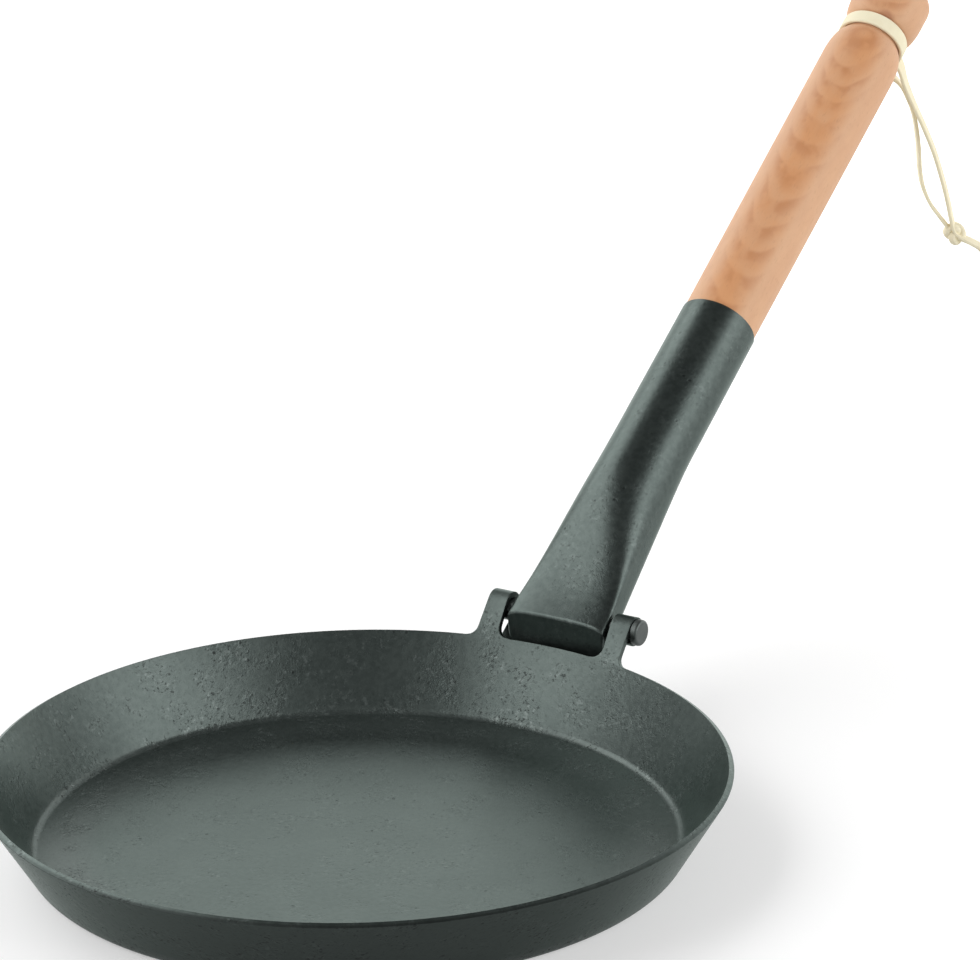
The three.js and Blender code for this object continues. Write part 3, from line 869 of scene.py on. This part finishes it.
def pin_bore():
    """The hole for the pin, right across the nose."""
    angles = even_angles(64)
    rings = []
    for x in (-2 * NOSE_HALF, 2 * NOSE_HALF):
        rings.append([(x, BORE_RADIUS * math.cos(a), BORE_RADIUS * math.sin(a)) for a in angles])
    return new_mesh("bore", loft(rings), HANDLE_PLACE)


def wall_along(height):
    """Where a line along the handle, at a height off the pin's axis, comes to the pan's wall."""
    level = PIN.z + height / math.cos(HANDLE_TILT)
    slope = math.tan(HANDLE_TILT)
    gap = CLEARANCE / math.cos(WALL_FLARE)
    reach = (wall_radius(level, False) + gap - PIN.y) / (1 - slope * math.tan(WALL_FLARE))
    return reach / math.cos(HANDLE_TILT) + height * slope


def stop_lip():
    """The lip that stops the open handle on the pan's wall."""
    wide = NOTCH_HALF + STOP_OVERHANG
    rows = (
        (wide, wall_along(STOP_TOP), wall_along(STOP_BOTTOM)),
        (wide, 0, 0),
        (wide - STOP_ROOT, STOP_ROOT, STOP_ROOT),
    )
    rings = []
    for half, top, bottom in rows:
        left = [(-half, bottom, STOP_BOTTOM), (-half, top, STOP_TOP)]
        right = [(half, top, STOP_TOP), (half, bottom, STOP_BOTTOM)]
        rings.append(left + right)
    lip = new_mesh("stop_lip", loft(rings), HANDLE_PLACE)
    soften(lip, 0.6)
    return lip


def screw_seat():
    """Height of the screw head's flat face, just below the socket."""
    return HANDLE_RISE - socket_radius(SCREW_ALONG) - CLEARANCE


def screw_hole():
    """The hole of the screw that holds the grip."""
    angles = even_angles(32)
    radius = SCREW_RADIUS + CLEARANCE
    rings = []
    for reach in (-SCREW_DEPTH - CLEARANCE, SCREW_DEPTH + CLEARANCE):
        z = screw_seat() + reach
        rings.append([(radius * math.cos(a), SCREW_ALONG + radius * math.sin(a), z) for a in angles])
    return new_mesh("screw_hole", loft(rings), HANDLE_PLACE)


def handle_socket(steel):
    """The socket: a nose and a stop lip at the flat end, a hollow for the grip at the round one."""
    outside = nose_sections() + socket_sections(0, SOCKET_LENGTH, 0)
    hollow = socket_sections(BORE_RADIUS + HOLLOW_START, SOCKET_LENGTH + CLEARANCE, SOCKET_SHEET)
    socket = new_mesh("socket", loft(outside), HANDLE_PLACE)
    combine(socket, stop_lip(), "UNION")
    combine(socket, new_mesh("hollow", loft(hollow), HANDLE_PLACE), "DIFFERENCE")
    combine(socket, pin_bore(), "DIFFERENCE")
    combine(socket, screw_hole(), "DIFFERENCE")
    soften(socket, 0.4)
    return dress(socket, steel, "dark_steel", "handle", "handle_socket")


def wooden_grip(wood):
    """The turned grip with its spigot, neck and knob."""
    stave_steps = 24
    spigot = MOUTH_RADIUS - SOCKET_SHEET - CLEARANCE
    spigot_end = SOCKET_LENGTH - SPIGOT_LENGTH
    start = SOCKET_LENGTH + CLEARANCE
    depth = GRIP_RADIUS - NECK_RADIUS
    shoulder = quarter(NECK_RADIUS, NECK_START - SHOULDER_LENGTH, depth, SHOULDER_LENGTH, 0, 14)
    knob = quarter(NECK_RADIUS, NECK_END + KNOB_TAPER, depth, KNOB_TAPER, -math.pi / 2, 14)
    round_end = arc(GRIP_RADIUS - KNOB_ROUND, TIP - KNOB_ROUND, KNOB_ROUND, 0, math.pi / 2, 10)
    stave = []
    for i in range(stave_steps):
        share = i / stave_steps
        stave.append((lerp(GRIP_ROOT_RADIUS, GRIP_RADIUS, share), lerp(start, shoulder[0][1], share)))
    profile = [
        (0, spigot_end), (spigot - SPIGOT_CHAMFER, spigot_end), (spigot, spigot_end + SPIGOT_CHAMFER),
        (spigot, start), *stave, *shoulder, *knob, *round_end, (GRIP_RADIUS / 3, TIP), (0, TIP),
    ]
    place = HANDLE_PLACE @ Matrix.Translation((0, 0, HANDLE_RISE))
    grip = new_mesh("grip", turned(profile, 96), place)
    combine(grip, screw_hole(), "DIFFERENCE")
    soften(grip, 0.3, segments=2, angle=math.radians(50))
    return dress(grip, wood, "beech", "handle", "wooden_grip")


def grip_screw(steel):
    """The dome-headed, slotted screw under the socket."""
    head = quarter(0, 0, SCREW_HEAD_RADIUS, SCREW_HEAD_HEIGHT, -math.pi / 2, 10)
    profile = [*head, (SCREW_RADIUS, 0), (SCREW_RADIUS, SCREW_DEPTH - SCREW_RADIUS), (0, SCREW_DEPTH)]
    under = Matrix.Translation((0, SCREW_ALONG, screw_seat()))
    place = HANDLE_PLACE @ under @ Matrix.Rotation(math.pi / 2, 4, "X")
    screw = new_mesh("screw", turned(profile, 40), place)
    half = SLOT_WIDTH / 2
    low, high = -SCREW_HEAD_HEIGHT - 1, SLOT_DEPTH - SCREW_HEAD_HEIGHT
    wide = 2 * SCREW_HEAD_RADIUS
    rings = [[(x, low, -half), (x, high, -half), (x, high, half), (x, low, half)] for x in (-wide, wide)]
    combine(screw, new_mesh("slot", loft(rings), place), "DIFFERENCE")
    soften(screw, 0.15, segments=2)
    return dress(screw, steel, "bare_steel", "handle", "grip_screw")


# Stage

FLOOR_REACH = 14000
LIFT_START = 100  # pan's middle to where the floor begins to turn white
LIFT_FULL = 900
LIGHT_AIM = Vector((0, 60, 40))
BACKDROP_HEADING = Vector((0.35, 0.94))


def pale_floor():
    """A plain pale floor under the pan, lifted to white where it is seen directly or in a reflection; the
    lift is weaker near the pan, as painted shade round it.
    """
    material = bpy.data.materials.new("pale_floor")
    material.use_nodes = True
    tree = material.node_tree
    surface = tree.nodes["Principled BSDF"]
    surface.inputs["Base Color"].default_value = grey(0.62)
    surface.inputs["Roughness"].default_value = 1
    surface.inputs["Specular IOR Level"].default_value = 0
    surface.inputs["Emission Strength"].default_value = 1
    start = Shade(tree)
    kinds = ("Camera", "Glossy", "Transmission")
    rays = [start.node("ShaderNodeLightPath", {}, {}, f"Is {kind} Ray") for kind in kinds]
    place = start.node("ShaderNodeTexCoord", {}, {}, "Object")
    reach = place.vector("LENGTH", place, output="Value")
    # painted shade: a weaker lift near the pan keeps the floor round it, and its reflection in the pan's
    # outside, darker
    lift = reach.step(LIFT_START * MM, LIFT_FULL * MM).mix(grey(0.38), grey(0.8))
    seen = (rays[0] + rays[1] + rays[2]).mix(grey(0), lift)
    tree.links.new(seen.socket, surface.inputs["Emission Color"])
    corners = [(x * FLOOR_REACH, y * FLOOR_REACH, 0) for x, y in ((-1, -1), (1, -1), (1, 1), (-1, 1))]
    floor = new_mesh("floor", (corners, [(0, 1, 2, 3)]))
    floor.data.materials.append(material)


def softbox(name, direction, distance, width, height, radiance):
    """A soft lamp of an even radiance, aimed at the object from a direction; lengths in metres."""
    data = bpy.data.lights.new(name, "AREA")
    data.shape = "RECTANGLE"
    data.size = width
    data.size_y = height
    data.energy = radiance * math.pi * width * height
    lamp = bpy.data.objects.new(name, data)
    back = Vector(direction).normalized()
    turn = back.to_track_quat("Z", "Y").to_matrix().to_4x4()
    lamp.matrix_world = Matrix.Translation(LIGHT_AIM * MM + back * distance) @ turn
    lamp.visible_camera = False
    bpy.context.scene.collection.objects.link(lamp)


def studio():
    """Soft light from the left and the right, and a pale backdrop behind."""
    softbox("left", (-0.678, -0.274, 0.682), distance=1.5, width=2.8, height=1.05, radiance=2.6)
    softbox("right", (0.9, 0.1, 0.42), distance=1.5, width=1.4, height=1, radiance=1.5)
    world = bpy.data.worlds.new("studio")
    world.use_nodes = True
    tree = world.node_tree
    x, y, z = Shade(tree).node("ShaderNodeTexCoord", {}, {}, "Generated").coordinates()
    ahead = BACKDROP_HEADING.x * x + BACKDROP_HEADING.y * y
    backdrop = ahead.step(-0.2, 0.4) * (1 - z.step(0.45, 0.75))
    horizon = (1 - z.step(0.1, 0.35)).mix(grey(0.45), grey(0.9))
    ceiling = z.step(0.62, 0.92).mix(horizon, grey(0.15))
    colour = backdrop.mix(ceiling, grey(1.8))
    tree.links.new(colour.socket, tree.nodes["Background"].inputs["Color"])
    bpy.context.scene.world = world


photo_camera()
thong(pale_leather())

bare_steel = plain_steel()
pan_body(seasoned_steel("pan_steel", pan_wear))
hinge_pin(bare_steel)
handle_socket(seasoned_steel("socket_steel", socket_wear))
wooden_grip(oiled_beech())
grip_screw(bare_steel)

pale_floor()
studio()
bpy.context.scene.view_settings.view_transform = "Standard"
